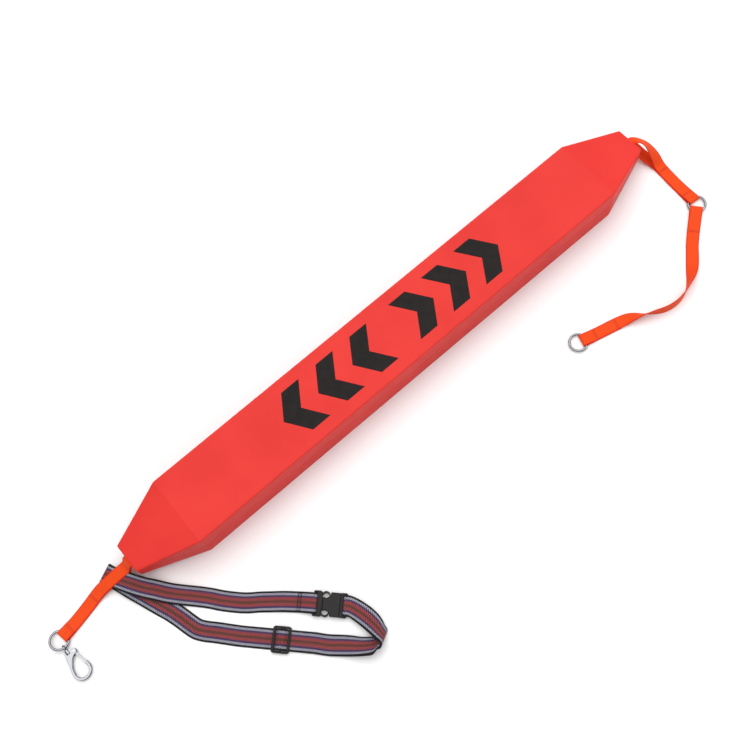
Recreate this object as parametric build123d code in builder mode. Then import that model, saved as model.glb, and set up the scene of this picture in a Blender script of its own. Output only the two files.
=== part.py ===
from build123d import *
import os
from math import atan, cos, degrees, pi, radians, sin, sqrt

# Rescue tube: a laminated foam float with a webbing strap, a ring and a snap hook at one end,
# a ring and a leash at the other, and a striped waist belt threaded through the near strap.
# The frame: X along the float, Z up, origin under the middle of the float on its flat underside.

os.makedirs("parts", exist_ok=True)

# Float
FLOAT_LENGTH = 1284.0
FLOAT_WIDTH = 148.0
FLOAT_THICK = 86.0
TAPER_LENGTH = 124.0
END_WIDTH = 62.0
END_THICK = 36.0
EDGE_ROUND = 3.0
SEAM_ROUND = 1.2

# Webbing
STRAP_WIDTH = 25.0
BELT_WIDTH = 38.0
WEB_THICK = 1.8
WEB_GAP = 0.3
FLOOR_Z = 1.2  # middle of a layer that lies on the floor
SECOND_Z = 3.4  # middle of the layer on top of it

# D-rings
RING_WIRE = 2.25
RING_RADIUS = 17.5
RING_CENTRE = 10.0  # from the bar to the middle of the arc
RING_CORNER = 2.6
RING_Z = 4.65
EYE_FOLD = RING_WIRE + WEB_GAP + WEB_THICK / 2
NEAR_BAR = (-822.6, -18.5)
NEAR_HEADING = 190.0
NEAR_TILT = 10.0
MID_BAR = (664.3, -167.2)
MID_HEADING = 264.0
END_BAR = (284.6, -236.7)
END_HEADING = 163.0
LEASH_HEADING = 217.7

# Snap hook, along its own axis from the middle of the eye
HOOK_SLOPE = 2.4
HOOK_THICK = 6.6
HOOK_BOW = (53.5, 2.5)
BOW_OUTER = 18.0
BOW_INNER = 13.2
GATE_PIN = (15.5, 10.6)
GATE_PIN_RADIUS = 1.3
GATE_THICK = 3.2
SHANK_RADIUS = 2.2

# Buckle and slide adjuster
BUCKLE_SPOT = (-413.4, -299.4)
BUCKLE_Z = 6.5
BUCKLE_HEADING = -46.0
BUCKLE_BAR = 28.0
MALE_BAR_RADIUS = 2.0
FEMALE_BAR_RADIUS = 1.9
SLIDE_SPOT = (-520.0, -289.0)
SLIDE_Z = 6.1
SLIDE_HEADING = -46.0
SLIDE_THICK = 3.0

half_length = FLOAT_LENGTH / 2
half_thick = FLOAT_THICK / 2
taper_start = half_length - TAPER_LENGTH
UP = Vector(0, 0, 1)


def save(piece, name):
    """Label one finished piece and write it."""
    piece.label = name
    export_step(piece, f"parts/{name}.step")


def heading(angle):
    """The level direction at an angle from +X."""
    return Vector(cos(radians(angle)), sin(radians(angle)), 0)


def level_plane(spot, z, angle):
    """A level plane whose x axis points along a heading."""
    return Plane(origin=(spot[0], spot[1], z), x_dir=heading(angle), z_dir=UP)


# ---------------------------------------------------------------- float

def float_half(name, side):
    """One laminated half: a block with wedge ends, rounded outside and eased at the seam."""
    with BuildPart() as half:
        with BuildSketch(Plane.YZ.offset(-taper_start)):
            with Locations((0, half_thick + side * half_thick / 2)):
                Rectangle(FLOAT_WIDTH, half_thick)
        extrude(amount=2 * taper_start)
        for end in (-1, 1):
            with BuildSketch(Plane.YZ.offset(end * taper_start)):
                with Locations((0, half_thick + side * half_thick / 2)):
                    Rectangle(FLOAT_WIDTH, half_thick)
            with BuildSketch(Plane.YZ.offset(end * half_length)):
                with Locations((0, half_thick + side * END_THICK / 4)):
                    Rectangle(END_WIDTH, END_THICK / 2)
            loft(ruled=True)
        seam = half.edges().filter_by_position(Axis.Z, half_thick - 0.01, half_thick + 0.01)
        across = half.edges().filter_by(Axis.Y)
        creases = across.filter_by_position(Axis.X, -taper_start - 1, taper_start + 1)
        outer = half.edges() - seam - creases
        fillet(outer, EDGE_ROUND)
        seam = half.edges().filter_by_position(Axis.Z, half_thick - 0.01, half_thick + 0.01)
        fillet(seam, SEAM_ROUND)
        with BuildSketch(Plane.XY.offset(half_thick)):
            Rectangle(FLOAT_LENGTH + 2, STRAP_WIDTH + 1)
        extrude(amount=side * (WEB_THICK + 0.2), mode=Mode.SUBTRACT)
    save(half.part, name)


def core_webbing():
    """The doubled webbing that carries the load through the float."""
    with BuildPart() as core:
        with BuildSketch(Plane.XY.offset(half_thick)):
            Rectangle(FLOAT_LENGTH, STRAP_WIDTH)
        extrude(amount=WEB_THICK, both=True)
    save(core.part, "core_webbing")


# ---------------------------------------------------------------- webbing

def ribbon_planes(points):
    """Planes across a ribbon at points of (x, y, z, roll, angle of the width direction).

    A positive roll lifts the edge on the left of the first direction of travel.
    """
    spots = [Vector(*point[:3]) for point in points]
    across = None
    planes = []
    for i, spot in enumerate(spots):
        ahead = spots[min(i + 1, len(spots) - 1)] - spots[max(i - 1, 0)]
        level = Vector(ahead.X, ahead.Y, 0)
        left = across
        if len(points[i]) > 4:
            left = heading(points[i][4])
        elif level.length > 0.3 * ahead.length:
            left = UP.cross(level).normalized()
        if across is not None and left.dot(across) < 0:
            left = -left
        across = left
        roll = radians(points[i][3]) if len(points[i]) > 3 else 0
        wide = across * cos(roll) + UP * sin(roll)
        face = ahead.cross(wide)
        planes.append(Plane(origin=spot, x_dir=wide, z_dir=wide.cross(face)))
    return planes


def ribbon(name, points, width):
    """A flat strap lofted through its stations."""
    with BuildPart() as strap:
        for plane in ribbon_planes(points):
            with BuildSketch(plane):
                Rectangle(width, WEB_THICK)
        loft(ruled=True)
    save(strap.part, name)


def turn(spot, z, angle, radius, rise=False, roll=0, slip=0, steps=6):
    """Stations of a half turn that bulges along a heading, from the top down or the bottom up.

    The slip is how far the strap travels along the turn's own axis on its way round.
    """
    out = heading(angle)
    wide = UP.cross(out) * cos(radians(roll)) + UP * sin(radians(roll))
    over = out.cross(wide)
    points = []
    for i in range(steps + 1):
        sweep_angle = pi * i / steps
        if rise:
            sweep_angle = pi - sweep_angle
        place = Vector(spot[0], spot[1], z)
        place += out * radius * sin(sweep_angle) + over * radius * cos(sweep_angle)
        place += wide * slip * (0.5 - i / steps)
        points.append((place.X, place.Y, place.Z, roll, angle + 90))
    return points


def local(spot, angle, points):
    """Move (along, z) stations of a straight strap to its spot and heading."""
    way = heading(angle)
    return [(spot[0] + way.X * along, spot[1] + way.Y * along, z) for along, z in points]


def seam_row(spot, z, angle, width):
    """One row of stitches across a strap, standing a little proud of it."""
    plane = Plane(origin=(spot[0], spot[1], z), x_dir=heading(angle), z_dir=UP)
    with BuildSketch(plane) as row:
        SlotOverall(width, 1.0, rotation=90)
    return extrude(row.sketch, amount=0.4, dir=UP)


def stitching(name, rows, width):
    """The stitch rows of one strap as one piece."""
    with BuildPart() as thread:
        for spot, z, angle in rows:
            add(seam_row(spot, z, angle, width))
    save(thread.part, name)


# Near strap: two layers that leave the float, part for the belt and close round the ring's bar.
near_lower_route = [
    (-642.4, 0.0, 42.0, 0, 90), (-643.8, 0.0, 42.0, 0, 90), (-646.6, 0.0, 39.2), (-650.0, 0.1, 32.0),
    (-654.5, 0.3, 21.6), (-683.0, 1.6, 14.6), (-710.0, 2.5, 8.0), (-730.0, 1.5, 3.9),
    (-750.0, -3.0, 1.7), (-775.0, -9.0, FLOOR_Z), (-800.0, -14.3, FLOOR_Z),
]
near_upper_route = [
    (-806.0, -15.4, 6.3), (-797.0, -13.8, 4.3), (-775.0, -9.0, SECOND_Z), (-750.0, -3.0, 4.0),
    (-730.0, 1.5, 6.7), (-710.0, 2.5, 12.8), (-683.0, 1.6, 19.4), (-656.6, 0.5, 26.1),
    (-652.6, 0.2, 35.5), (-648.8, 0.0, 42.6), (-645.0, 0.0, 44.0, 0, 90), (-642.4, 0.0, 44.0, 0, 90),
]

# Far strap: the same two layers, standing open at the float because nothing is threaded there.
far_lower_route = [
    (642.4, 0.0, 42.0, 0, 90), (644.2, 0.0, 42.0, 0, 90), (649.5, -1.5, 38.0, 0, 78), (656.0, -9.0, 27.0),
    (661.0, -20.0, 17.0), (665.0, -33.0, 10.0), (669.5, -47.0, 5.6), (672.0, -62.0, 2.6),
    (671.5, -80.0, FLOOR_Z), (668.5, -110.0, FLOOR_Z), (666.5, -135.0, FLOOR_Z),
    (665.2, -152.0, FLOOR_Z),
]
far_upper_route = [
    (665.6, -155.0, 6.2), (666.4, -145.0, 4.3), (667.0, -135.0, 3.6), (668.5, -110.0, SECOND_Z),
    (671.5, -80.0, 3.5), (673.0, -64.0, 6.4, -2), (674.0, -49.0, 19.0, -10),
    (671.5, -34.0, 34.0, -24), (666.0, -20.0, 46.5, -36), (658.0, -8.0, 51.0, -34),
    (650.5, -1.5, 48.5, -12, 70), (646.0, 0.0, 45.0, -3, 88), (644.2, 0.0, 44.0, 0, 90),
    (642.4, 0.0, 44.0, 0, 90),
]

# Leash: flat at the middle ring, on edge round its bend, flat again at the end ring.
mid_arc = Vector(*MID_BAR, 0) + heading(MID_HEADING) * RING_CENTRE
inner_eye = mid_arc + heading(LEASH_HEADING) * 10.85
inner_eye_spot = (inner_eye.X, inner_eye.Y)
EYE_TOP = RING_Z + EYE_FOLD
inner_tail = [(608.0, -220.0, FLOOR_Z), (618.0, -212.3, FLOOR_Z), (638.0, -196.9, FLOOR_Z)]
leash_run = [
    (646.0, -190.5, EYE_TOP), (633.0, -200.6, 5.4), (618.0, -212.3, 3.7),
    (604.0, -223.3, SECOND_Z), (590.0, -235.0, 2.2, -2), (571.0, -253.0, 3.2, -8),
    (556.0, -266.0, 6.0, -22), (542.0, -277.0, 9.4, -40), (528.0, -286.3, 12.4, -62),
    (512.0, -294.8, 13.8, -82), (491.0, -301.8, 13.9, -95), (468.0, -303.8, 13.9, -98),
    (446.0, -299.6, 13.9, -96), (427.0, -290.5, 13.8, -88), (410.0, -280.0, 12.9, -68),
    (396.0, -270.5, 9.8, -42), (382.0, -263.0, 5.6, -18), (366.0, -257.6, 3.8, -4),
    (345.0, -252.0, SECOND_Z), (322.0, -246.3, SECOND_Z), (302.0, -241.2, 5.2),
]
outer_tail = [(301.0, -240.9, FLOOR_Z), (322.0, -246.3, FLOOR_Z), (362.0, -256.6, FLOOR_Z)]

# Belt: two strands between a fold at the near strap and a fold past the buckle.
buckle_way = heading(BUCKLE_HEADING)
buckle_mid = Vector(*BUCKLE_SPOT, 0)
male_end = buckle_mid - buckle_way * BUCKLE_BAR
female_end = buckle_mid + buckle_way * BUCKLE_BAR
male_fold = MALE_BAR_RADIUS + WEB_GAP + WEB_THICK / 2
female_fold = FEMALE_BAR_RADIUS + WEB_GAP + WEB_THICK / 2
FOLD_SPOT = (-695.4, 20.6)
FOLD_Z = 11.5
FOLD_HEADING = 110.0
FOLD_ROLL = 12.9
FOLD_RADIUS = 2.35
RIGHT_FOLD = (-380.7, -405.5)
RIGHT_Z = 14.8
RIGHT_HEADING = -58.0
RIGHT_ROLL = -38.0
RIGHT_SLIP = 9.0
LAYER_GAP = 2.2
RUNNING_FOLD = 3.2
FIXED_FOLD = RUNNING_FOLD + LAYER_GAP

upper_strand = [
    (-443.0, -268.6, 6.8), (-455.0, -256.5, SECOND_Z), (-478.0, -235.4, SECOND_Z),
    (-492.0, -223.8, 2.4), (-507.0, -211.0, FLOOR_Z), (-522.0, -199.8, FLOOR_Z),
    (-535.0, -188.5, FLOOR_Z), (-559.6, -162.0, FLOOR_Z), (-573.0, -145.0, 1.4),
    (-587.0, -129.0, 2.2), (-609.7, -105.0, 3.7), (-628.0, -84.5, 5.8, 1), (-641.5, -66.5, 9.6, 3),
    (-656.0, -48.0, 15.8, 9), (-668.5, -29.0, 20.4, 12), (-676.5, -15.5, 18.8, 12.5),
    (-686.5, 2.0, 16.2, 12, 27),
]
lower_strand = [
    (-686.8, -1.3, 11.3, 12.8), (-680.5, -18.5, 11.0, 12.8), (-673.6, -37.2, 8.8, 9),
    (-666.0, -56.0, 5.6, 5), (-658.5, -76.0, 3.2, 2), (-650.0, -98.0, FLOOR_Z),
    (-643.0, -115.5, FLOOR_Z), (-636.0, -138.0, FLOOR_Z), (-631.5, -155.0, FLOOR_Z),
    (-626.0, -171.5, FLOOR_Z), (-617.0, -184.5, FLOOR_Z), (-603.0, -199.8, FLOOR_Z),
    (-575.0, -229.0, FLOOR_Z), (-549.0, -257.5, FLOOR_Z),
]
slide_way = heading(SLIDE_HEADING)
slide_mid = Vector(*SLIDE_SPOT, 0)
slide_left = (SLIDE_SPOT[0] - slide_way.X * 24, SLIDE_SPOT[1] - slide_way.Y * 24)
slide_right = (SLIDE_SPOT[0] + slide_way.X * 24, SLIDE_SPOT[1] + slide_way.Y * 24)

# The rear strands' outer layer, as (x, y, z, roll, width angle) and how far inside it the other lies.
arc_plan = [
    (-389.1, -324.6, 9.4, 0, 42, 4.8), (-383.5, -337.5, 9.8, 0, 31, 3.3),
    (-378.8, -354.0, 10.9, -5, 21, 2.7), (-375.5, -372.0, 12.8, -16, 15, 2.4),
    (-374.6, -388.0, 14.9, -28, 20, LAYER_GAP),
]
return_plan = [
    (-401.5, -406.5, 12.6, -35, 50), (-416.0, -395.3, 10.4, -28, 55), (-430.5, -381.0, 6.0, -14, 52),
    (-445.0, -367.0, 2.7, -4, 48), (-461.0, -352.0, FLOOR_Z, 0, 46),
]


def lifted(x, y, z, roll, angle, lift):
    """A station moved square to the strap's own face."""
    place = Vector(x, y, z) + UP * lift * cos(radians(roll)) - heading(angle) * lift * sin(radians(roll))
    return (place.X, place.Y, place.Z, roll, angle)


def rear_route(inside):
    """One layer from the buckle's female bar round the tilted right-hand bend to the adjuster."""
    route = []
    for x, y, z, roll, angle, gap in arc_plan:
        route.append(lifted(x, y, z, roll, angle, -gap * inside))
    radius = FIXED_FOLD - LAYER_GAP * inside
    route += turn(RIGHT_FOLD, RIGHT_Z, RIGHT_HEADING, radius, roll=RIGHT_ROLL, slip=RIGHT_SLIP)
    for station in return_plan:
        route.append(lifted(*station, LAYER_GAP * inside))
    return route


def near_strap():
    """The near strap's two layers and their stitches."""
    eye = turn(NEAR_BAR, RING_Z, NEAR_HEADING, EYE_FOLD, rise=True)
    ribbon("near_strap", near_lower_route + eye + near_upper_route, STRAP_WIDTH)
    rows = [((-738.0, -0.3), 6.8, 188.0), ((-803.0, -14.9), 6.8, 188.0)]
    stitching("near_strap_stitching", rows, 20)


def far_strap():
    """The far strap's two layers and their stitches."""
    eye = turn(MID_BAR, RING_Z, MID_HEADING, EYE_FOLD, rise=True)
    ribbon("far_strap", far_lower_route + eye + far_upper_route, STRAP_WIDTH)
    rows = [((672.0, -75.0), 5.6, 266.0), ((665.9, -146.0), 5.7, 266.0)]
    stitching("far_strap_stitching", rows, 20)


def leash():
    """The leash, the eyes sewn at its two ends and its stitches."""
    inner = turn(inner_eye_spot, RING_Z, LEASH_HEADING + 180, EYE_FOLD, rise=True)
    outer = turn(END_BAR, RING_Z, END_HEADING, EYE_FOLD)
    route = inner_tail + inner + leash_run + outer + outer_tail
    ribbon("leash_strap", route, STRAP_WIDTH)
    rows = [
        ((612.0, -217.0), 4.8, LEASH_HEADING), ((355.0, -254.8), 5.0, END_HEADING + 2),
        ((312.0, -243.7), 5.4, END_HEADING + 2),
    ]
    stitching("leash_stitching", rows, 20)


def belt():
    """The belt's webbing, in the pieces between which it folds, slides or is sewn."""
    fold = turn(FOLD_SPOT, FOLD_Z, FOLD_HEADING, FOLD_RADIUS, roll=-FOLD_ROLL)
    fold = [(*point[:3], FOLD_ROLL, FOLD_HEADING - 90) for point in fold]
    eye = turn((male_end.X, male_end.Y), BUCKLE_Z, BUCKLE_HEADING, male_fold, rise=True)
    tail = [(-477.0, -236.3, FLOOR_Z), (-455.0, -256.5, FLOOR_Z), (-443.0, -268.6, 2.2)]
    end = (*slide_left, FLOOR_Z, 0, SLIDE_HEADING + 90)
    route = tail + eye + upper_strand + fold + lower_strand + [end]
    ribbon("belt_front_webbing", route, BELT_WIDTH)
    rows = [((-455.2, -256.3), 4.5, 135.0), ((-451.5, -260.1), 5.7, 135.0)]
    stitching("belt_stitching", rows, 34)


def belt_rear():
    """The running layer, the fixed layer under it and the hump over the adjuster's bar."""
    female_spot = (female_end.X, female_end.Y)
    eye = turn(female_spot, BUCKLE_Z, BUCKLE_HEADING + 180, female_fold, rise=True)
    across = SLIDE_HEADING + 90
    running = rear_route(1)
    running.append((*slide_right, SECOND_Z, 0, across))
    fixed = rear_route(0)
    fixed.append((*slide_right, FLOOR_Z, 0, across))
    ribbon("belt_rear_webbing", running[::-1] + eye + fixed, BELT_WIDTH)
    hump = [
        (-24, FLOOR_Z), (-17, FLOOR_Z), (-12.5, 1.7), (-9.5, 4.2), (-5, 9.3), (-2.5, 10.8),
        (0, 11.1), (2.5, 10.8), (5, 9.2), (8, 5.7), (10.2, 3.9), (11.6, SECOND_Z), (24, SECOND_Z),
    ]
    ribbon("belt_slide_webbing", local(SLIDE_SPOT, SLIDE_HEADING, hump), BELT_WIDTH)
    anchor = [(24, FLOOR_Z), (13, FLOOR_Z), (8, 1.6), (4, 2.8)]
    loop = turn(SLIDE_SPOT, SLIDE_Z, SLIDE_HEADING + 180, 2.7, rise=True)
    end = local(SLIDE_SPOT, SLIDE_HEADING, [(3.2, 8.4)])
    route = local(SLIDE_SPOT, SLIDE_HEADING, anchor) + loop + end
    ribbon("belt_anchor_loop", route, BELT_WIDTH)


# ---------------------------------------------------------------- rings

def ring_plane(bar, angle, tilt=0):
    """The plane of a ring: origin at the middle of its bar, x towards its arc."""
    way = heading(angle) * cos(radians(tilt)) + UP * sin(radians(tilt))
    side = UP.cross(heading(angle))
    return Plane(origin=(*bar, RING_Z), x_dir=way, z_dir=way.cross(side))


def d_ring(name, plane):
    """A welded wire ring with one straight side."""
    corner_y = sqrt((RING_RADIUS - RING_CORNER) ** 2 - (RING_CENTRE - RING_CORNER) ** 2)
    scale = RING_RADIUS / (RING_RADIUS - RING_CORNER)
    touch_x = RING_CENTRE + (RING_CORNER - RING_CENTRE) * scale
    touch_y = corner_y * scale
    middle = ((RING_CORNER - RING_CORNER * cos(radians(30))), corner_y + RING_CORNER * sin(radians(30)))
    with BuildPart() as ring:
        with BuildLine(plane) as path:
            Line((0, -corner_y), (0, corner_y))
            ThreePointArc((0, corner_y), middle, (touch_x, touch_y))
            ThreePointArc((touch_x, touch_y), (RING_CENTRE + RING_RADIUS, 0), (touch_x, -touch_y))
            ThreePointArc((touch_x, -touch_y), (middle[0], -middle[1]), (0, -corner_y))
        with BuildSketch(Plane(origin=path.line @ 0, z_dir=path.line % 0)):
            Circle(RING_WIRE)
        sweep()
    save(ring.part, name)


# ---------------------------------------------------------------- snap hook

near_ring_plane = ring_plane(NEAR_BAR, NEAR_HEADING, NEAR_TILT)
hang = near_ring_plane.from_local_coords(Vector(13.0, 17.24, 0))
hook_way = Vector(0, -cos(radians(HOOK_SLOPE)), -sin(radians(HOOK_SLOPE)))
hook_plane = Plane(origin=hang + hook_way * 0.4, x_dir=hook_way, z_dir=Vector(1, 0, 0).cross(-hook_way))
hook_side = Plane(origin=hook_plane.origin, x_dir=hook_plane.x_dir, z_dir=-hook_plane.y_dir)


def hook_eye():
    """The swivel eye: a small loop round the ring's wire, a shank and its riveted head."""
    with BuildPart() as eye:
        with BuildSketch(hook_side):
            Circle(6.0)
            Circle(3.1, mode=Mode.SUBTRACT)
        extrude(amount=1.6, both=True)
        fillet(eye.edges().filter_by(GeomType.CIRCLE), 0.9)
        with BuildSketch(Plane(origin=hook_plane.origin + hook_way * 5.4, z_dir=hook_way)):
            Circle(SHANK_RADIUS)
        extrude(amount=8.0)
        with BuildSketch(Plane(origin=hook_plane.origin + hook_way * 13.3, z_dir=hook_way)):
            Circle(3.0)
        extrude(amount=1.6)
    save(eye.part, "hook_swivel_eye")


def hook_body():
    """The cast hook: a collar, a tapering web and a round bow that ends in the nose."""
    bow_s, bow_q = HOOK_BOW
    nose_s = 47.0
    nose_out = bow_q + sqrt(BOW_OUTER ** 2 - (bow_s - nose_s) ** 2)
    nose_in = bow_q + sqrt(BOW_INNER ** 2 - (bow_s - nose_s) ** 2)
    web_s = 49.0
    web_out = bow_q - sqrt(BOW_OUTER ** 2 - (bow_s - web_s) ** 2)
    web_in = bow_q - sqrt(BOW_INNER ** 2 - (bow_s - web_s) ** 2)
    with BuildPart() as body:
        with BuildSketch(hook_plane):
            with BuildLine():
                Line((7.0, -5.6), (web_s, web_out))
                ThreePointArc((web_s, web_out), (bow_s + BOW_OUTER, bow_q), (nose_s, nose_out))
                Polyline((nose_s, nose_out), (44.3, nose_out + 0.3), (44.3, nose_out - 1.0))
                Polyline((44.3, nose_out - 1.0), (nose_s, nose_out - 1.3), (nose_s, nose_in))
                ThreePointArc((nose_s, nose_in), (bow_s + BOW_INNER, bow_q), (web_s, web_in))
                ThreePointArc((web_s, web_in), (33.5, -4.8), (21.5, 8.2))
                Line((21.5, 8.2), (20.0, 13.4))
                ThreePointArc((20.0, 13.4), (15.5, 14.9), (11.0, 12.6))
                Polyline((11.0, 12.6), (7.0, 7.6), (7.0, -5.6))
            make_face()
        extrude(amount=HOOK_THICK / 2, both=True)
        through = Axis(hook_plane.origin, hook_plane.z_dir)
        sides = body.faces().sort_by(through)
        rims = sides[0].edges() + sides[-1].edges()
        chamfer(rims.filter_by(lambda edge: edge.length > 20), 0.8)
        with BuildSketch(Plane(origin=hook_plane.origin + hook_way * 6.4, z_dir=hook_way)):
            Circle(4.9)
        extrude(amount=7.2)
        with BuildSketch(Plane(origin=hook_plane.origin + hook_way * 6.0, z_dir=hook_way)):
            Circle(SHANK_RADIUS + 0.3)
        extrude(amount=8.0, mode=Mode.SUBTRACT)
        with BuildSketch(Plane(origin=hook_plane.origin + hook_way * 13.0, z_dir=hook_way)):
            Rectangle(6.8, 6.8)
        extrude(amount=2.4, mode=Mode.SUBTRACT)
        with BuildSketch(hook_plane):
            with Locations((18.4, 10.8)):
                Rectangle(13.0, 10.6)
        extrude(amount=GATE_THICK / 2 + 0.25, both=True, mode=Mode.SUBTRACT)
        with BuildSketch(hook_plane):
            with Locations(GATE_PIN):
                Circle(GATE_PIN_RADIUS)
        extrude(amount=HOOK_THICK, both=True, mode=Mode.SUBTRACT)
    save(body.part, "hook_body")


def hook_gate():
    """The sprung gate from its pin to the nose, with a groove for its spring."""
    tip = (46.3, 16.2)
    run = Vector(tip[0] - GATE_PIN[0], tip[1] - GATE_PIN[1], 0)
    slant = degrees(atan(run.Y / run.X))
    with BuildPart() as gate:
        with BuildSketch(hook_plane):
            with Locations(Location((*GATE_PIN, 0), (0, 0, slant))):
                with Locations((run.length / 2, 0)):
                    Rectangle(run.length, 3.0)
                Circle(2.9)
                Circle(GATE_PIN_RADIUS + 0.2, mode=Mode.SUBTRACT)
        extrude(amount=GATE_THICK / 2, both=True)
        with BuildSketch(hook_plane):
            with Locations(GATE_PIN):
                Circle(3.2)
        extrude(amount=0.75, both=True, mode=Mode.SUBTRACT)
    save(gate.part, "hook_gate")


def hook_pin():
    """The gate's pin, riveted flush in the fork."""
    with BuildPart() as pin:
        with BuildSketch(hook_plane):
            with Locations(GATE_PIN):
                Circle(GATE_PIN_RADIUS)
        extrude(amount=HOOK_THICK / 2, both=True)
    save(pin.part, "hook_gate_pin")


def hook_spring():
    """The gate's spring coil round the pin."""
    with BuildPart() as spring:
        with BuildSketch(hook_plane):
            with Locations(GATE_PIN):
                Circle(2.6)
                Circle(GATE_PIN_RADIUS + 0.2, mode=Mode.SUBTRACT)
        extrude(amount=0.5, both=True)
    save(spring.part, "hook_gate_spring")


# ---------------------------------------------------------------- buckle

buckle_plane = level_plane(BUCKLE_SPOT, BUCKLE_Z, BUCKLE_HEADING)
ARM_ROOT = (-15.4, 14.0)
ARM_HALF = 2.7
HOUSING_HALF = 5.9
CAVITY_HALF = 3.1


def bar_across(radius, along):
    """A round bar across the buckle, at a distance along it."""
    middle = buckle_plane.from_local_coords(Vector(along, 0, 0))
    with BuildSketch(Plane(origin=middle, x_dir=UP, z_dir=buckle_plane.y_dir)) as bar:
        Circle(radius)
    return extrude(bar.sketch, amount=21.0, both=True)


def buckle_male():
    """The male half: a strap frame with its bar, and the guide tongue between the arms."""
    with BuildPart() as male:
        with BuildSketch(buckle_plane):
            with Locations((-23.5, 0)):
                RectangleRounded(16.0, 46.0, 3.5)
            with Locations((-15.0, 0)):
                Rectangle(2.2, 24.0)
            with Locations((-27.65, 0)):
                Rectangle(8.5, 39.4, mode=Mode.SUBTRACT)
            with Locations((-28.0, 0)):
                Rectangle(2.0, 40.0, mode=Mode.SUBTRACT)
        extrude(amount=4.2, both=True)
        fillet(male.faces().filter_by(Axis.Z).edges().filter_by(GeomType.LINE), 0.9)
        add(bar_across(MALE_BAR_RADIUS, -BUCKLE_BAR))
        with BuildSketch(buckle_plane):
            with Locations((-3.0, 0)):
                Rectangle(27.0, 9.0)
        extrude(amount=2.2, both=True)
    save(male.part, "buckle_male_frame")


def release_arm(name, side):
    """One springy arm: it bows out to the finger pad and ends in a barbed tip."""
    with BuildPart() as arm:
        with BuildSketch(buckle_plane):
            with BuildLine():
                ThreePointArc((-15.4, side * 17.6), (-8.5, side * 23.4), (-1.2, side * 14.7))
                Polyline((-1.2, side * 14.7), (2.0, side * 14.5), (2.0, side * 18.2))
                Polyline((2.0, side * 18.2), (4.5, side * 18.0), (10.5, side * 13.6), (10.5, side * 11.2))
                Line((10.5, side * 11.2), (-1.6, side * 11.2))
                ThreePointArc((-1.6, side * 11.2), (-8.2, side * 19.4), (-15.4, side * 13.6))
                Line((-15.4, side * 13.6), (-15.4, side * 17.6))
            make_face()
        extrude(amount=ARM_HALF, both=True)
    save(arm.part, name)


def buckle_female():
    """The housing: plates over the mouth, walls that catch the barbs, and a strap frame."""
    with BuildPart() as female:
        with BuildSketch(buckle_plane):
            with BuildLine():
                Polyline((19.0, -21.6), (19.0, 21.6), (1.0, 21.6))
                ThreePointArc((1.0, 21.6), (-4.0, 12.6), (-13.6, 12.0))
                Line((-13.6, 12.0), (-13.6, -12.0))
                ThreePointArc((-13.6, -12.0), (-4.0, -12.6), (1.0, -21.6))
                Line((1.0, -21.6), (19.0, -21.6))
            make_face()
        extrude(amount=HOUSING_HALF, both=True)
        chamfer(female.faces().filter_by(Axis.Z).edges(), 1.1)
        with BuildSketch(buckle_plane):
            with Locations((9.3, 0)):
                Rectangle(15.6, 38.4)
            with Locations((-6.0, 0)):
                Rectangle(17.0, 30.4)
        extrude(amount=CAVITY_HALF, both=True, mode=Mode.SUBTRACT)
        with BuildSketch(buckle_plane):
            with Locations((24.7, 0)):
                RectangleRounded(13.6, 44.4, 3.0)
            with Locations((28.15, 0)):
                Rectangle(9.3, 39.2, mode=Mode.SUBTRACT)
            with Locations((17.5, 0)):
                Rectangle(3.0, 43.0, mode=Mode.SUBTRACT)
        extrude(amount=3.6, both=True)
        add(bar_across(FEMALE_BAR_RADIUS, BUCKLE_BAR))
    save(female.part, "buckle_female_housing")


# ---------------------------------------------------------------- slide adjuster

slide_plane = level_plane(SLIDE_SPOT, SLIDE_Z, SLIDE_HEADING)


def slide_adjuster():
    """The three-bar slide that the belt is woven through."""
    with BuildPart() as slide:
        with BuildSketch(slide_plane):
            RectangleRounded(34.0, 48.0, 5.0)
            for along in (-6.5, 6.5):
                with Locations((along, 0)):
                    Rectangle(10.0, 39.2, mode=Mode.SUBTRACT)
        extrude(amount=SLIDE_THICK / 2, both=True)
        fillet(slide.faces().filter_by(Axis.Z).edges().filter_by(GeomType.LINE), 1.35)
    save(slide.part, "slide_adjuster")


float_half("foam_upper_half", 1)
float_half("foam_lower_half", -1)
core_webbing()
near_strap()
far_strap()
leash()
belt()
belt_rear()
d_ring("near_d_ring", near_ring_plane)
d_ring("middle_d_ring", ring_plane(MID_BAR, MID_HEADING))
d_ring("end_d_ring", ring_plane(END_BAR, END_HEADING))
hook_eye()
hook_body()
hook_gate()
hook_pin()
hook_spring()
buckle_male()
release_arm("buckle_left_arm", 1)
release_arm("buckle_right_arm", -1)
buckle_female()
slide_adjuster()
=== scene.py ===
import math

import bmesh
import bpy
from mathutils import Euler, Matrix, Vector
from mathutils.bvhtree import BVHTree


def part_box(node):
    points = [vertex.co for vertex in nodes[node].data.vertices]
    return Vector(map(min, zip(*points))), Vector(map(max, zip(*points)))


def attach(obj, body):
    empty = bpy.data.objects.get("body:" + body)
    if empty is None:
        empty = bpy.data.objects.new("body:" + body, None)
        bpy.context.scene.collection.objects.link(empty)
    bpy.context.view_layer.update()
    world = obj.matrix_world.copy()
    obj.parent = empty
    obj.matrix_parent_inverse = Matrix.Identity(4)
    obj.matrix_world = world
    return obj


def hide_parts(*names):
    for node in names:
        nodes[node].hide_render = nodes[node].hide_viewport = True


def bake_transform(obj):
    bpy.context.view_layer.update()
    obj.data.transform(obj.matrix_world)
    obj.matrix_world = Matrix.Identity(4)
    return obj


# Rescue tube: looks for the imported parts. Lengths in the route lists are millimetres.

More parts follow.
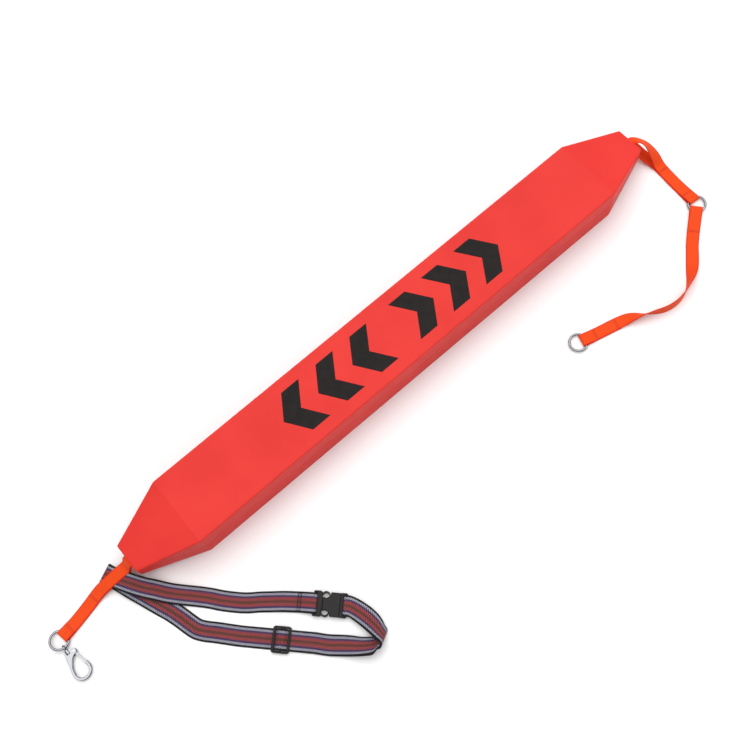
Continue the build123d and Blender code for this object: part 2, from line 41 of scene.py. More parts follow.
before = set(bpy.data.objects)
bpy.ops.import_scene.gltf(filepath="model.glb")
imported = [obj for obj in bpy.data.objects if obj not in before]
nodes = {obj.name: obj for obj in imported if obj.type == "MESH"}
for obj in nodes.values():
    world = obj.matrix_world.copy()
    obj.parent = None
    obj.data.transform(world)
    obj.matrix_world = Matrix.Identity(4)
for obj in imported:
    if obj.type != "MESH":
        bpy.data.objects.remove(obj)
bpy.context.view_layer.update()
scene = bpy.context.scene

UP = Vector((0, 0, 1))
STRAP = 25.0
BELT = 38.0
THICK = 1.8
FLOOR_Z = 1.2
SECOND_Z = 3.4

CAMERA_PLACE = (-0.36716, -0.59563, 1.78565)
CAMERA_TURN = (19.599, 4.681, -40.525)
CAMERA_LENS = 46.304


# ---------------------------------------------------------------- camera, light and floor

def set_camera():
    """A camera above the belt end, looking along the float."""
    data = bpy.data.cameras.new("view")
    data.sensor_width = 36
    data.lens = CAMERA_LENS
    cam = bpy.data.objects.new("view", data)
    cam.rotation_euler = Euler([math.radians(a) for a in CAMERA_TURN])
    cam.location = CAMERA_PLACE
    scene.collection.objects.link(cam)
    scene.camera = cam


def area_light(name, spot, target, size, power):
    """A square soft box at a spot, aimed at a target."""
    data = bpy.data.lights.new(name, "AREA")
    data.size = size
    data.energy = power
    lamp = bpy.data.objects.new(name, data)
    lamp.location = spot
    lamp.rotation_euler = (Vector(target) - Vector(spot)).to_track_quat("-Z", "Y").to_euler()
    scene.collection.objects.link(lamp)


def set_light():
    """A soft sun, three soft boxes and a sky that is dark low down and pale above."""
    data = bpy.data.lights.new("key", "SUN")
    data.energy = 1.55
    data.angle = math.radians(60)
    key = bpy.data.objects.new("key", data)
    key.rotation_euler = Vector((-0.16, -0.24, -1.0)).to_track_quat("-Z", "Y").to_euler()
    scene.collection.objects.link(key)
    area_light("fill", (-1.9, -1.3, 1.3), (-0.2, -0.1, 0), 1.2, 3)
    area_light("rim", (1.8, 1.5, 1.1), (0.1, 0, 0), 1.0, 6)
    area_light("far_fill", (1.6, -1.6, 0.9), (0.3, -0.1, 0.04), 1.2, 6)
    world = bpy.data.worlds.new("studio")
    scene.world = world
    world.use_nodes = True
    tree = world.node_tree
    back = tree.nodes["Background"]
    where = tree.nodes.new("ShaderNodeTexCoord")
    split = tree.nodes.new("ShaderNodeSeparateXYZ")
    ramp = tree.nodes.new("ShaderNodeValToRGB")
    ramp.color_ramp.elements[0].position = 0.0
    ramp.color_ramp.elements[0].color = (0.10, 0.10, 0.11, 1)
    ramp.color_ramp.elements[1].position = 0.72
    ramp.color_ramp.elements[1].color = (0.90, 0.90, 0.90, 1)
    ramp.color_ramp.elements.new(0.42).color = (0.16, 0.16, 0.17, 1)
    tree.links.new(where.outputs["Generated"], split.inputs[0])
    tree.links.new(split.outputs["Z"], ramp.inputs["Fac"])
    tree.links.new(ramp.outputs["Color"], back.inputs["Color"])
    scene.view_settings.view_transform = "Standard"


def set_floor():
    """A plain white floor."""
    size = 9.0
    mesh = bpy.data.meshes.new("floor")
    corners = [(-size, -size, 0), (size, -size, 0), (size, size, 0), (-size, size, 0)]
    mesh.from_pydata(corners, [], [(0, 1, 2, 3)])
    floor = bpy.data.objects.new("floor", mesh)
    scene.collection.objects.link(floor)
    mesh.materials.append(surface("floor_white", (0.93, 0.93, 0.93), 0.9))


# ---------------------------------------------------------------- materials

def surface(name, color, rough, metal=0.0, vary=None, bumps=(), rough_vary=None, **sockets):
    """A principled material. vary: (other colour, noise scale). bumps: (noise scale, height in metres)."""
    made = bpy.data.materials.new(name)
    made.use_nodes = True
    tree = made.node_tree
    bsdf = tree.nodes["Principled BSDF"]
    bsdf.inputs["Base Color"].default_value = (*color, 1)
    bsdf.inputs["Roughness"].default_value = rough
    bsdf.inputs["Metallic"].default_value = metal
    for key, value in sockets.items():
        bsdf.inputs[key.replace("_", " ")].default_value = value
    place = tree.nodes.new("ShaderNodeTexCoord")
    if vary:
        noise = add_noise(tree, place, vary[1], 3)
        mix = tree.nodes.new("ShaderNodeMix")
        mix.data_type = "RGBA"
        mix.inputs["A"].default_value = (*color, 1)
        mix.inputs["B"].default_value = (*vary[0], 1)
        tree.links.new(spread(tree, noise, 0.35, 0.65), mix.inputs["Factor"])
        tree.links.new(mix.outputs["Result"], bsdf.inputs["Base Color"])
    if rough_vary:
        noise = add_noise(tree, place, rough_vary[1], 4)
        ranged = tree.nodes.new("ShaderNodeMapRange")
        ranged.inputs["To Min"].default_value = rough
        ranged.inputs["To Max"].default_value = rough_vary[0]
        tree.links.new(noise, ranged.inputs["Value"])
        tree.links.new(ranged.outputs["Result"], bsdf.inputs["Roughness"])
    normal = None
    for scale, height in bumps:
        normal = add_bump(tree, add_noise(tree, place, scale, 2), height, normal)
    if normal:
        tree.links.new(normal, bsdf.inputs["Normal"])
    return made


def add_noise(tree, place, scale, detail, output="Object"):
    noise = tree.nodes.new("ShaderNodeTexNoise")
    noise.inputs["Scale"].default_value = scale
    noise.inputs["Detail"].default_value = detail
    tree.links.new(place.outputs[output], noise.inputs["Vector"])
    return noise.outputs["Fac"]


def spread(tree, value, low, high):
    ranged = tree.nodes.new("ShaderNodeMapRange")
    ranged.inputs["From Min"].default_value = low
    ranged.inputs["From Max"].default_value = high
    tree.links.new(value, ranged.inputs["Value"])
    return ranged.outputs["Result"]


def add_bump(tree, height, distance, normal=None):
    bump = tree.nodes.new("ShaderNodeBump")
    bump.inputs["Strength"].default_value = 1.0
    bump.inputs["Distance"].default_value = distance
    tree.links.new(height, bump.inputs["Height"])
    if normal:
        tree.links.new(normal, bump.inputs["Normal"])
    return bump.outputs["Normal"]


def math_node(tree, kind, a, b=0.0):
    made = tree.nodes.new("ShaderNodeMath")
    made.operation = kind
    for socket, value in zip(made.inputs, (a, b)):
        if isinstance(value, (int, float)):
            socket.default_value = value
        else:
            tree.links.new(value, socket)
    return made.outputs[0]


def woven(name, color, fleck, pitch, lean, height, rough=0.75, share=0.5):
    """Webbing: yarn ribs that cross at a pitch (across, along) in metres, with flecks between them."""
    made = bpy.data.materials.new(name)
    made.use_nodes = True
    tree = made.node_tree
    bsdf = tree.nodes["Principled BSDF"]
    bsdf.inputs["Roughness"].default_value = rough
    bsdf.inputs["Specular IOR Level"].default_value = 0.2
    bsdf.inputs["Sheen Weight"].default_value = 0.06
    bsdf.inputs["Sheen Roughness"].default_value = 0.4
    place = tree.nodes.new("ShaderNodeTexCoord")
    split = tree.nodes.new("ShaderNodeSeparateXYZ")
    tree.links.new(place.outputs["UV"], split.inputs[0])
    u, v = split.outputs["X"], split.outputs["Y"]
    wobble = math_node(tree, "MULTIPLY", add_noise(tree, place, 900, 2, "UV"), 0.0005)
    u = math_node(tree, "ADD", u, wobble)
    slanted = math_node(tree, "ADD", v, math_node(tree, "MULTIPLY", u, lean))
    ribs = math_node(tree, "SINE", math_node(tree, "MULTIPLY", u, 2 * math.pi / pitch[0]))
    picks = math_node(tree, "SINE", math_node(tree, "MULTIPLY", slanted, 2 * math.pi / pitch[1]))
    cross = math_node(tree, "MULTIPLY", ribs, picks)
    weave = math_node(tree, "ADD", math_node(tree, "MULTIPLY", cross, 0.5), picks)
    grain = add_noise(tree, place, 800, 3, "UV")
    mixed = math_node(tree, "ADD", math_node(tree, "MULTIPLY", weave, 0.22), grain)
    mix = tree.nodes.new("ShaderNodeMix")
    mix.data_type = "RGBA"
    mix.inputs["A"].default_value = (*color, 1)
    mix.inputs["B"].default_value = (*fleck, 1)
    tree.links.new(spread(tree, mixed, 0.68 - share * 0.5, 0.82 - share * 0.5), mix.inputs["Factor"])
    tree.links.new(mix.outputs["Result"], bsdf.inputs["Base Color"])
    normal = add_bump(tree, math_node(tree, "ADD", math_node(tree, "MULTIPLY", weave, 0.5), grain), height)
    tree.links.new(normal, bsdf.inputs["Normal"])
    return made


def rgb(r, g, b):
    """A colour from 0 to 255 as linear light."""
    shares = (r / 255, g / 255, b / 255)
    return tuple((c / 12.92) if c <= 0.04045 else ((c + 0.055) / 1.055) ** 2.4 for c in shares)


def paint(node, material):
    mesh = nodes[node].data
    mesh.materials.clear()
    mesh.materials.append(material)


# ---------------------------------------------------------------- straps

def level(angle):
    return Vector((math.cos(math.radians(angle)), math.sin(math.radians(angle)), 0))


def stations(points):
    """(spot, width direction) at each point of (x, y, z, roll, angle of the width direction)."""
    spots = [Vector(p[:3]) for p in points]
    across = None
    made = []
    for i, spot in enumerate(spots):
        ahead = spots[min(i + 1, len(spots) - 1)] - spots[max(i - 1, 0)]
        flat = Vector((ahead.x, ahead.y, 0))
        left = across
        if len(points[i]) > 4:
            left = level(points[i][4])
        elif flat.length > 0.3 * ahead.length:
            left = UP.cross(flat).normalized()
        if across is not None and left.dot(across) < 0:
            left = -left
        across = left
        roll = math.radians(points[i][3]) if len(points[i]) > 3 else 0
        made.append((spot, across * math.cos(roll) + UP * math.sin(roll)))
    return made


def turn(spot, z, angle, radius, rise=False, roll=0, slip=0, steps=6):
    """Stations of a half turn that bulges along a heading, from the top down or the bottom up."""
    out = level(angle)
    wide = UP.cross(out) * math.cos(math.radians(roll)) + UP * math.sin(math.radians(roll))
    over = out.cross(wide)
    points = []
    for i in range(steps + 1):
        swing = math.pi * i / steps
        if rise:
            swing = math.pi - swing
        place = Vector((spot[0], spot[1], z))
        place += out * radius * math.sin(swing) + over * radius * math.cos(swing)
        place += wide * slip * (0.5 - i / steps)
        points.append((place.x, place.y, place.z, roll, angle + 90))
    return points


def spline(values, knots, i, t):
    """One point between values i and i + 1 of a curve through all the values."""
    last = len(values) - 1
    a, b, c, d = (max(i - 1, 0), i, i + 1, min(i + 2, last))
    ta = knots[a] if a < i else knots[b] - (knots[c] - knots[b])
    td = knots[d] if d > i + 1 else knots[c] + (knots[c] - knots[b])
    pa = values[a] if a < i else values[b] * 2 - values[c]
    pd = values[d] if d > i + 1 else values[c] * 2 - values[b]
    pb, pc, tb, tc = values[b], values[c], knots[b], knots[c]
    x = tb + (tc - tb) * t
    a1 = pa * ((tb - x) / (tb - ta)) + pb * ((x - ta) / (tb - ta))
    a2 = pb * ((tc - x) / (tc - tb)) + pc * ((x - tb) / (tc - tb))
    a3 = pc * ((td - x) / (td - tc)) + pd * ((x - tc) / (td - tc))
    b1 = a1 * ((tc - x) / (tc - ta)) + a2 * ((x - ta) / (tc - ta))
    b2 = a2 * ((td - x) / (td - tb)) + a3 * ((x - tb) / (td - tb))
    return b1 * ((tc - x) / (tc - tb)) + b2 * ((x - tb) / (tc - tb))


def smooth_route(points, step=2.2):
    """Close stations on a smooth curve through a strap's points."""
    rough = stations(points)
    spots = [s for s, w in rough]
    wides = [w for s, w in rough]
    knots = [0.0]
    for a, b in zip(spots, spots[1:]):
        knots.append(knots[-1] + max((b - a).length, 0.01) ** 0.5)
    fine = []
    for i in range(len(spots) - 1):
        count = max(2, math.ceil((spots[i + 1] - spots[i]).length / step))
        for k in range(count):
            fine.append((spline(spots, knots, i, k / count), spline(wides, knots, i, k / count)))
    fine.append((spots[-1], wides[-1]))
    made = []
    for i, (spot, wide) in enumerate(fine):
        way = (fine[min(i + 1, len(fine) - 1)][0] - fine[max(i - 1, 0)][0]).normalized()
        wide = wide.normalized()
        made.append((spot, wide, way.cross(wide).normalized()))
    return made


def strap(name, points, width, bands, replaces=()):
    """A woven strap through its points, with bands of (width in mm, material) from its left edge."""
    rows = smooth_route(points)
    half = width / 2
    edge = 0.95
    marks = [-half, -half + 0.1, -half + 0.35, -half + edge]
    kinds = []
    place = -half
    bounds = []
    for size, material in bands:
        bounds.append((place, place + size, material))
        place += size
        marks.append(place)
    marks += [half - edge, half - 0.35, half - 0.1, half]
    count = max(4, round(width / 2.4))
    marks += [-half + width * i / count for i in range(1, count)]
    marks = sorted(set(round(m, 3) for m in marks))
    marks = [m for i, m in enumerate(marks) if i == 0 or m - marks[i - 1] > 0.04]
    materials = []
    for size, material in bands:
        if material not in materials:
            materials.append(material)
    for a, b in zip(marks, marks[1:]):
        middle = (a + b) / 2
        kinds.append(next(materials.index(m) for lo, hi, m in bounds if lo - 0.01 <= middle <= hi + 0.01))
    ring = []
    for m in marks:
        inside = min(max((abs(m) - (half - edge)) / edge, 0), 1)
        ring.append((m, THICK / 2 * math.sqrt(max(1 - inside ** 2, 0))))
    loop = ring + [(m, -h) for m, h in reversed(ring[1:-1])]
    mesh = bpy.data.meshes.new(name)
    build = bmesh.new()
    uv = build.loops.layers.uv.new("UVMap")
    grid = []
    along = [0.0]
    for (a, *_), (b, *_) in zip(rows, rows[1:]):
        along.append(along[-1] + (b - a).length)
    for spot, wide, up in rows:
        grid.append([build.verts.new((spot + wide * m + up * h) / 1000) for m, h in loop])
    n = len(loop)
    for i in range(len(rows) - 1):
        for k in range(n):
            j = (k + 1) % n
            face = build.faces.new((grid[i][k], grid[i][j], grid[i + 1][j], grid[i + 1][k]))
            column = k if k < len(marks) - 1 else n - 1 - k
            face.material_index = kinds[column]
            face.smooth = True
            places = ((k, i), (j, i), (j, i + 1), (k, i + 1))
            for corner, (c, r) in zip(face.loops, places):
                corner[uv].uv = (loop[c][0] / 1000, along[r] / 1000)
    for end, order in ((0, 1), (-1, -1)):
        top = grid[end][: len(marks)]
        low = [grid[end][0]] + grid[end][len(marks):][::-1] + [grid[end][len(marks) - 1]]
        for k in range(len(marks) - 1):
            ring_verts = []
            for vert in (top[k], low[k], low[k + 1], top[k + 1]):
                if vert not in ring_verts:
                    ring_verts.append(vert)
            build.faces.new(ring_verts[::order]).material_index = kinds[k]
    bmesh.ops.recalc_face_normals(build, faces=build.faces)
    build.to_mesh(mesh)
    build.free()
    for material in materials:
        mesh.materials.append(material)
    made = bpy.data.objects.new(name, mesh)
    scene.collection.objects.link(made)
    if replaces:
        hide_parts(*replaces)
    return made


STITCH_LENGTH = 2.8
STITCH_GAP = 0.5
ABOVE_STRAPS = 60
THREAD_SIDES = 6
# (share of the stitch, height, thickness) along one thread, in thread radii
THREAD_SHAPE = ((0, -0.25, 0.5), (0.12, 0.25, 0.9), (0.5, 0.5, 1.05), (0.88, 0.25, 0.9), (1, -0.25, 0.5))


def tree_of(obj):
    """A ray-casting tree of an object's mesh."""
    bm = bmesh.new()
    bm.from_mesh(obj.data)
    found = BVHTree.FromBMesh(bm)
    bm.free()
    return found


def stitch_rows(name, strap_object, rows, width, material, replaces, fat=0.0005, across=None):
    """Lock stitches in rows across a strap, each row at (x, y, heading of the strap).

    across: (body, start, end) for a strap that runs onto that body; only whether it is given is read, and
    then the threads stay in world space instead of riding on the tube.
    """
    size, gap = STITCH_LENGTH, STITCH_GAP
    surface_of = tree_of(strap_object)
    build = bmesh.new()
    for x, y, angle in rows:
        side = UP.cross(level(angle))
        count = int(width / (size + gap))
        start = -count * (size + gap) / 2 + gap / 2
        for i in range(count):
            ends = []
            for shift in (start + i * (size + gap), start + i * (size + gap) + size):
                spot = (Vector((x, y, ABOVE_STRAPS)) + side * shift) / 1000
                hit, normal, *_ = surface_of.ray_cast(spot, -UP)
                if hit:
                    ends.append((hit, normal))
            if len(ends) == 2:
                (a, normal), (b, _) = ends
                thread(build, a, b, normal if normal.z > 0 else -normal, fat)
    mesh = bpy.data.meshes.new(name)
    build.to_mesh(mesh)
    build.free()
    mesh.materials.append(material)
    made = bpy.data.objects.new(name, mesh)
    scene.collection.objects.link(made)
    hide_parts(*replaces)
    if across:
        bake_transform(made)
    else:
        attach(made, "tube")
    return made


def thread(build, a, b, up, radius):
    """One stitch: a short plump thread that dives at both ends."""
    way = b - a
    side = way.cross(up).normalized()
    rings = []
    for share, height, fat in THREAD_SHAPE:
        middle = a + way * share + up * radius * height
        ring = []
        for k in range(THREAD_SIDES):
            turned = math.tau * k / THREAD_SIDES
            out = side * math.cos(turned) + up * math.sin(turned)
            ring.append(build.verts.new(middle + out * radius * fat))
        rings.append(ring)
    for low, high in zip(rings, rings[1:]):
        for k in range(THREAD_SIDES):
            n = (k + 1) % THREAD_SIDES
            build.faces.new((low[k], low[n], high[n], high[k])).smooth = True
    build.faces.new(rings[0][::-1])
    build.faces.new(rings[-1])


# ---------------------------------------------------------------- routes

EYE_FOLD = 3.45
RING_Z = 4.65
NEAR_BAR = (-822.6, -18.5)
MID_BAR = (664.3, -167.2)
END_BAR = (284.6, -236.7)
LEASH_HEADING = 217.7

near_lower = [
    (-641.0, 0.0, 42.0, 0, 90), (-643.8, 0.0, 42.0, 0, 90), (-646.6, 0.0, 39.2), (-650.0, 0.1, 32.0),
    (-654.5, 0.3, 21.6), (-683.0, 1.6, 14.6), (-710.0, 2.5, 8.0), (-730.0, 1.5, 3.9),
    (-750.0, -3.0, 1.7), (-775.0, -9.0, FLOOR_Z), (-800.0, -14.3, FLOOR_Z),
]
near_upper = [
    (-806.0, -15.4, 6.3), (-797.0, -13.8, 4.3), (-775.0, -9.0, SECOND_Z), (-750.0, -3.0, 4.0),
    (-730.0, 1.5, 6.7), (-710.0, 2.5, 12.8), (-683.0, 1.6, 19.4), (-656.6, 0.5, 26.1),
    (-652.6, 0.2, 35.5), (-648.8, 0.0, 42.6), (-645.0, 0.0, 44.0, 0, 90), (-641.0, 0.0, 44.0, 0, 90),
]
far_lower = [
    (641.0, 0.0, 42.0, 0, 90), (644.2, 0.0, 42.0, 0, 90), (649.5, -1.5, 38.0, 0, 78), (656.0, -9.0, 27.0),
    (661.0, -20.0, 17.0), (665.0, -33.0, 10.0), (669.5, -47.0, 5.6), (672.0, -62.0, 2.6),
    (671.5, -80.0, FLOOR_Z), (668.5, -110.0, FLOOR_Z), (666.5, -135.0, FLOOR_Z),
    (665.2, -152.0, FLOOR_Z),
]
far_upper = [
    (665.6, -155.0, 6.2), (666.4, -145.0, 4.3), (667.0, -135.0, 3.6), (668.5, -110.0, SECOND_Z),
    (671.5, -80.0, 3.5), (673.0, -64.0, 6.4, -2), (674.0, -49.0, 19.0, -10),
    (671.5, -34.0, 34.0, -24), (666.0, -20.0, 46.5, -36), (658.0, -8.0, 51.0, -34),
    (650.5, -1.5, 48.5, -12, 70), (646.0, 0.0, 45.0, -3, 88), (644.2, 0.0, 44.0, 0, 90),
    (641.0, 0.0, 44.0, 0, 90),
]
inner_tail = [(608.0, -220.0, FLOOR_Z), (618.0, -212.3, FLOOR_Z), (638.0, -196.9, FLOOR_Z)]
leash_run = [
    (646.0, -190.5, 8.1), (633.0, -200.6, 5.4), (618.0, -212.3, 3.7),
    (604.0, -223.3, SECOND_Z), (590.0, -235.0, 2.2, -2), (571.0, -253.0, 3.2, -8),
    (556.0, -266.0, 6.0, -22), (542.0, -277.0, 9.4, -40), (528.0, -286.3, 12.4, -62),
    (512.0, -294.8, 13.8, -82), (491.0, -301.8, 13.9, -95), (468.0, -303.8, 13.9, -98),
    (446.0, -299.6, 13.9, -96), (427.0, -290.5, 13.8, -88), (410.0, -280.0, 12.9, -68),
    (396.0, -270.5, 9.8, -42), (382.0, -263.0, 5.6, -18), (366.0, -257.6, 3.8, -4),
    (345.0, -252.0, SECOND_Z), (322.0, -246.3, SECOND_Z), (302.0, -241.2, 5.2),
]
outer_tail = [(301.0, -240.9, FLOOR_Z), (322.0, -246.3, FLOOR_Z), (362.0, -256.6, FLOOR_Z)]
inner_eye = (Vector((*MID_BAR, 0)) + level(264) * 10 + level(LEASH_HEADING) * 10.85)[:2]

BELT_HEADING = -46
BUCKLE_SPOT = Vector((-413.4, -299.4, 0))
BUCKLE_WAY = level(BELT_HEADING)
male_end = (BUCKLE_SPOT - BUCKLE_WAY * 28)[:2]
female_end = (BUCKLE_SPOT + BUCKLE_WAY * 28)[:2]
FOLD_SPOT = (-695.4, 20.6)
FOLD_Z = 11.5
FOLD_HEADING = 110
FOLD_RADIUS = 2.35
FOLD_ROLL = 12.9
upper_strand = [
    (-443.0, -268.6, 6.8), (-455.0, -256.5, SECOND_Z), (-478.0, -235.4, SECOND_Z),
    (-492.0, -223.8, 2.4), (-507.0, -211.0, FLOOR_Z), (-522.0, -199.8, FLOOR_Z),
    (-535.0, -188.5, FLOOR_Z), (-559.6, -162.0, FLOOR_Z), (-573.0, -145.0, 1.4),
    (-587.0, -129.0, 2.2), (-609.7, -105.0, 3.7), (-628.0, -84.5, 5.8, 1), (-641.5, -66.5, 9.6, 3),
    (-656.0, -48.0, 15.8, 9), (-668.5, -29.0, 20.4, 12), (-676.5, -15.5, 18.8, 12.5),
    (-686.5, 2.0, 16.2, 12, 27),
]
lower_strand = [
    (-686.8, -1.3, 11.3, 12.8), (-680.5, -18.5, 11.0, 12.8), (-673.6, -37.2, 8.8, 9),
    (-666.0, -56.0, 5.6, 5), (-658.5, -76.0, 3.2, 2), (-650.0, -98.0, FLOOR_Z),
    (-643.0, -115.5, FLOOR_Z), (-636.0, -138.0, FLOOR_Z), (-631.5, -155.0, FLOOR_Z),
    (-626.0, -171.5, FLOOR_Z), (-617.0, -184.5, FLOOR_Z), (-603.0, -199.8, FLOOR_Z),
    (-577.0, -229.5, FLOOR_Z),
]
SLIDE_SPOT = Vector((-520, -289, 0))
SLIDE_WAY = level(BELT_HEADING)
RIGHT_FOLD = (-380.7, -405.5)
RIGHT_Z = 14.8
RIGHT_HEADING = -58
RIGHT_RADIUS = 5.4
RIGHT_ROLL = -38
RIGHT_SLIP = 9
LAYER_GAP = 2.2
arc_plan = [
    (-389.1, -324.6, 9.4, 0, 42, 4.8), (-383.5, -337.5, 9.8, 0, 31, 3.3),
    (-378.8, -354.0, 10.9, -5, 21, 2.7), (-375.5, -372.0, 12.8, -16, 15, 2.4),
    (-374.6, -388.0, 14.9, -28, 20, LAYER_GAP),
]
return_plan = [
    (-401.5, -406.5, 12.6, -35, 50), (-416.0, -395.3, 10.4, -28, 55), (-430.5, -381.0, 6.0, -14, 52),
    (-445.0, -367.0, 2.7, -4, 48), (-461.0, -352.0, FLOOR_Z, 0, 46),
]


def lifted(x, y, z, roll, angle, lift):
    """A station moved square to the strap's own face."""
    swing = math.radians(roll)
    place = Vector((x, y, z)) + UP * lift * math.cos(swing) - level(angle) * lift * math.sin(swing)
    return (*place, roll, angle)


def arc_route(inside):
    """The upper strand behind the buckle and its tilted bend: the outer layer (0) or the inner one (1)."""
    route = [lifted(x, y, z, roll, angle, -gap * inside) for x, y, z, roll, angle, gap in arc_plan]
    radius = RIGHT_RADIUS - LAYER_GAP * inside
    return route + turn(RIGHT_FOLD, RIGHT_Z, RIGHT_HEADING, radius, roll=RIGHT_ROLL, slip=RIGHT_SLIP)


def return_route(inside):
    """The lower strand from the bend: the layer on the floor (0) or the one on top of it (1)."""
    return [lifted(*station, LAYER_GAP * inside) for station in return_plan]


def by_slide(points, across=44):
    """(along, z) stations beside the slide adjuster, in its own direction."""
    made = []
    for along, z in points:
        place = SLIDE_SPOT + SLIDE_WAY * along
        made.append((place.x, place.y, z, 0, across))
    return made


# ---------------------------------------------------------------- build

set_camera()
set_light()
set_floor()

# Float: dipped foam skin, smooth with a faint pebble and slow waves.
foam = surface(
    "foam_skin", rgb(225, 54, 47), 0.46, vary=(rgb(218, 49, 43), 9), bumps=((1100, 0.00006), (26, 0.0006)),
    rough_vary=(0.56, 40), Specular_IOR_Level=0.16,
)
for half in ("foam_upper_half", "foam_lower_half"):
    paint(half, foam)

ink = surface(
    "print_black", rgb(20, 16, 15), 0.55, vary=(rgb(28, 22, 20), 60), bumps=((900, 0.00004),),
    Specular_IOR_Level=0.15,
)


def top_marking():
    """Six bold chevrons, three pointing each way from the middle, printed on the top face."""
    low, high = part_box("foam_upper_half")
    top = high.z
    build = bmesh.new()
    pitch, stroke, tall, lean = 0.084, 0.042, 0.048, 0.032
    for i in range(6):
        side = 1 if i > 2 else -1
        place = 0.005 + side * (0.028 + pitch * (i - 3 if i > 2 else 2 - i))
        outline = [
            (place, -tall), (place + side * stroke, -tall), (place + side * (stroke + lean), 0),
            (place + side * stroke, tall), (place, tall), (place + side * lean, 0),
        ]
        lower = [build.verts.new((x, y, top - 0.0002)) for x, y in outline]
        upper = [build.verts.new((x, y, top + 0.0002)) for x, y in outline]
        build.faces.new(upper)
        build.faces.new(lower[::-1])
        for k in range(6):
            build.faces.new((lower[k], lower[(k + 1) % 6], upper[(k + 1) % 6], upper[k]))
    bmesh.ops.recalc_face_normals(build, faces=build.faces)
    mesh = bpy.data.meshes.new("top_marking")
    build.to_mesh(mesh)
    build.free()
    mesh.materials.append(ink)
    made = bpy.data.objects.new("top_marking", mesh)
    scene.collection.objects.link(made)
    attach(made, "tube")


top_marking()

# Orange webbing
orange = woven("webbing_orange", rgb(240, 80, 22), rgb(224, 64, 16), (0.0021, 0.0015), 0.0, 0.00012)
orange_edge = woven("webbing_orange_edge", rgb(212, 44, 10), rgb(230, 56, 14), (0.0012, 0.0015), 0.0, 0.00012)
orange_thread = surface("thread_orange", rgb(160, 32, 10), 0.6, vary=(rgb(190, 44, 16), 700))
plain = [(2.2, orange_edge), (20.6, orange), (2.2, orange_edge)]

paint("core_webbing", orange)

near_eye = turn(NEAR_BAR, RING_Z, 190, EYE_FOLD, rise=True)
near = strap("near_strap_webbing", near_lower + near_eye + near_upper, STRAP, plain, ["near_strap"])
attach(near, "tube")
far_eye = turn(MID_BAR, RING_Z, 264, EYE_FOLD, rise=True)
far = strap("far_strap_webbing", far_lower + far_eye + far_upper, STRAP, plain, ["far_strap"])
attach(far, "tube")
eye_in = turn(inner_eye, RING_Z, LEASH_HEADING + 180, EYE_FOLD, rise=True)
eye_out = turn(END_BAR, RING_Z, 163, EYE_FOLD)
leash = strap("leash_webbing", inner_tail + eye_in + leash_run + eye_out + outer_tail, STRAP, plain,
              ["leash_strap"])

STRAP_STITCHES = 21
BELT_STITCHES = 34
RING_BEND = ((0.575, -0.25, 0.003), (0.640, -0.196, 0.005))
stitch_rows("near_strap_threads", near, [
    (-738, -0.3, 188), (-741, -1, 190), (-803, -14.9, 191), (-806, -15.3, 191),
], STRAP_STITCHES, orange_thread, ["near_strap_stitching"])
stitch_rows("far_strap_threads", far, [
    (672, -75, 266), (671.6, -78, 266), (665.9, -146, 266), (666, -149, 266),
], STRAP_STITCHES, orange_thread, ["far_strap_stitching"])
stitch_rows("leash_threads", leash, [
    (612, -217, LEASH_HEADING), (614.4, -215.2, LEASH_HEADING), (355, -254.8, 165), (358, -255.6, 165),
    (312, -243.7, 165), (309, -243, 165),
], STRAP_STITCHES, orange_thread, ["leash_stitching"], across=("middle_ring", *RING_BEND))
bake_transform(leash)

# Belt webbing: black edges, then silver, navy, brick and a dark middle stripe.
black = woven("belt_black", rgb(14, 14, 16), rgb(30, 29, 32), (0.0014, 0.0019), 0.4, 0.0002)
BELT_WEAVE = {"pitch": (0.0040, 0.0046), "lean": 1.3, "height": 0.0003}
silver = woven("belt_silver", rgb(182, 182, 190), rgb(52, 50, 74), **BELT_WEAVE, share=0.5)
navy = woven("belt_navy", rgb(30, 27, 68), rgb(92, 74, 104), **BELT_WEAVE, share=0.4)
brick = woven("belt_brick", rgb(176, 72, 70), rgb(64, 44, 52), **BELT_WEAVE, share=0.5)
dark = woven("belt_dark", rgb(48, 38, 42), rgb(118, 70, 54), **BELT_WEAVE, share=0.45)
stripes = [
    (3.5, black), (4.1, silver), (3.6, navy), (5.4, brick), (4.8, dark), (5.4, brick), (3.6, navy),
    (4.1, silver), (3.5, black),
]
thread_black = surface("thread_black", rgb(22, 22, 24), 0.5)

fold = turn(FOLD_SPOT, FOLD_Z, FOLD_HEADING, FOLD_RADIUS, roll=-FOLD_ROLL)
fold = [(*p[:3], FOLD_ROLL, FOLD_HEADING - 90) for p in fold]
male_eye = turn(male_end, 6.5, BELT_HEADING, 3.2, rise=True)
tail = [(-477.0, -236.3, FLOOR_Z), (-455.0, -256.5, FLOOR_Z), (-443.0, -268.6, 2.2)]
front_end = by_slide([(-72, FLOOR_Z), (-63, FLOOR_Z)])
front = strap("belt_front", tail + male_eye + upper_strand + fold + lower_strand + front_end, BELT, stripes,
              ["belt_front_webbing"])
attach(front, "tube")
stitch_rows("belt_threads", front, [
    (-455.7, -255.8, 135), (-454.7, -256.8, 135), (-452.0, -259.6, 135), (-451.0, -260.6, 135),
], BELT_STITCHES, thread_black, ["belt_stitching"], fat=0.0006)

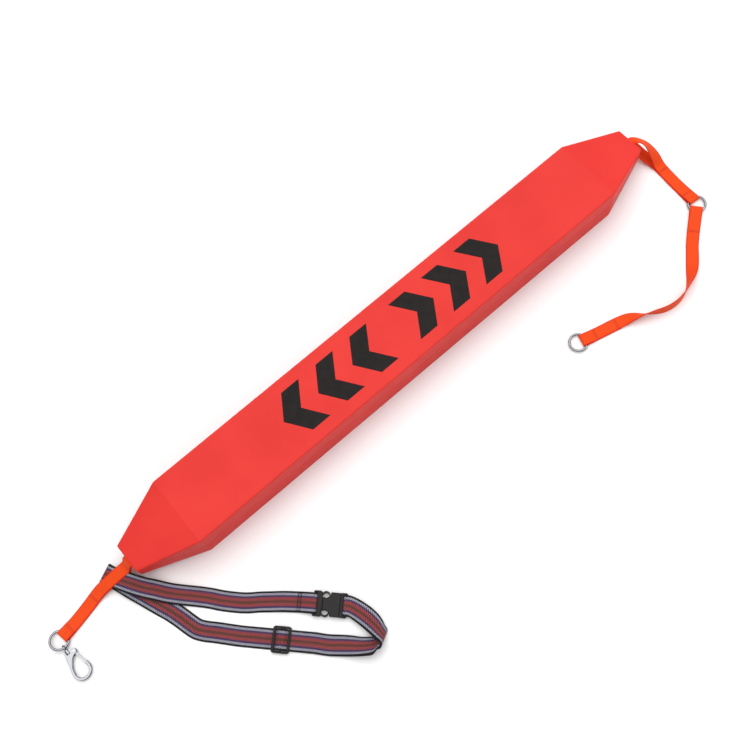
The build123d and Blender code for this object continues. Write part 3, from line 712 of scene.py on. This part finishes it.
hump_left = [
    (-66, 1.24), (-56, FLOOR_Z), (-24, FLOOR_Z), (-17, FLOOR_Z), (-12.5, 1.7), (-9.5, 4.2), (-5, 9.3),
    (-2.5, 10.8), (0, 11.1),
]
hump_right = [
    (0, 11.1), (2.5, 10.8), (5, 9.2), (8, 5.7), (10.2, 3.9), (11.6, SECOND_Z), (24, SECOND_Z),
    (56, SECOND_Z), (64, SECOND_Z + 0.04),
]
over_left = strap("belt_over_slide_left", by_slide(hump_left), BELT, stripes, ["belt_slide_webbing"])
over_right = strap("belt_over_slide_right", by_slide(hump_right), BELT, stripes, ())
bar_loop = turn(SLIDE_SPOT, 6.1, BELT_HEADING + 180, 2.7, rise=True)
anchor_route = by_slide([(62, FLOOR_Z), (24, FLOOR_Z), (13, FLOOR_Z), (8, 1.6), (4, 2.8)]) + bar_loop
anchor_route += by_slide([(3.2, 8.4)])
anchor = strap("belt_anchor", anchor_route, BELT, stripes, ["belt_anchor_loop"])


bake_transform(over_left)
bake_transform(over_right)
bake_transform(anchor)

female_eye = turn(female_end, 6.5, BELT_HEADING + 180, 3.1, rise=True)
running_arc = arc_route(1)
fixed_arc = arc_route(0)
rear_stations = (running_arc + return_route(1)[:2])[::-1] + female_eye + fixed_arc + return_route(0)[:2]
rear = strap("belt_rear_bend", rear_stations, BELT, stripes, ["belt_rear_webbing"])
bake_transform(rear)
for name, z, inside in (("belt_rear_upper", SECOND_Z, 1), ("belt_rear_lower", FLOOR_Z, 0)):
    back = strap(name, return_route(inside) + by_slide([(62, z)]), BELT, stripes, ())
    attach(back, "tube")

# Hardware
chrome = surface("chrome", (0.27, 0.275, 0.29), 0.12, 1.0, bumps=((160, 0.00006),), rough_vary=(0.2, 220))
steel = surface("steel", (0.62, 0.62, 0.63), 0.28, 1.0, bumps=((500, 0.00003),))
plastic = surface(
    "black_plastic", rgb(26, 23, 22), 0.5, vary=(rgb(20, 18, 17), 90),
    bumps=((2600, 0.00004), (300, 0.00003)), Specular_IOR_Level=0.25,
)
for node in ("near_d_ring", "middle_d_ring", "end_d_ring", "hook_swivel_eye", "hook_body", "hook_gate"):
    paint(node, chrome)
for node in ("hook_gate_pin", "hook_gate_spring"):
    paint(node, steel)
for node in (
    "buckle_male_frame", "buckle_left_arm", "buckle_right_arm", "buckle_female_housing", "slide_adjuster",
):
    paint(node, plastic)
for node, width in (
    ("buckle_male_frame", 0.0005), ("buckle_left_arm", 0.0006), ("buckle_right_arm", 0.0006),
    ("buckle_female_housing", 0.0005), ("hook_body", 0.0006), ("hook_gate", 0.0005),
):
    bevel = nodes[node].modifiers.new("soft_edges", "BEVEL")
    bevel.width = width
    bevel.segments = 3
    bevel.limit_method = "ANGLE"
    bevel.angle_limit = math.radians(35)
    bevel.harden_normals = True
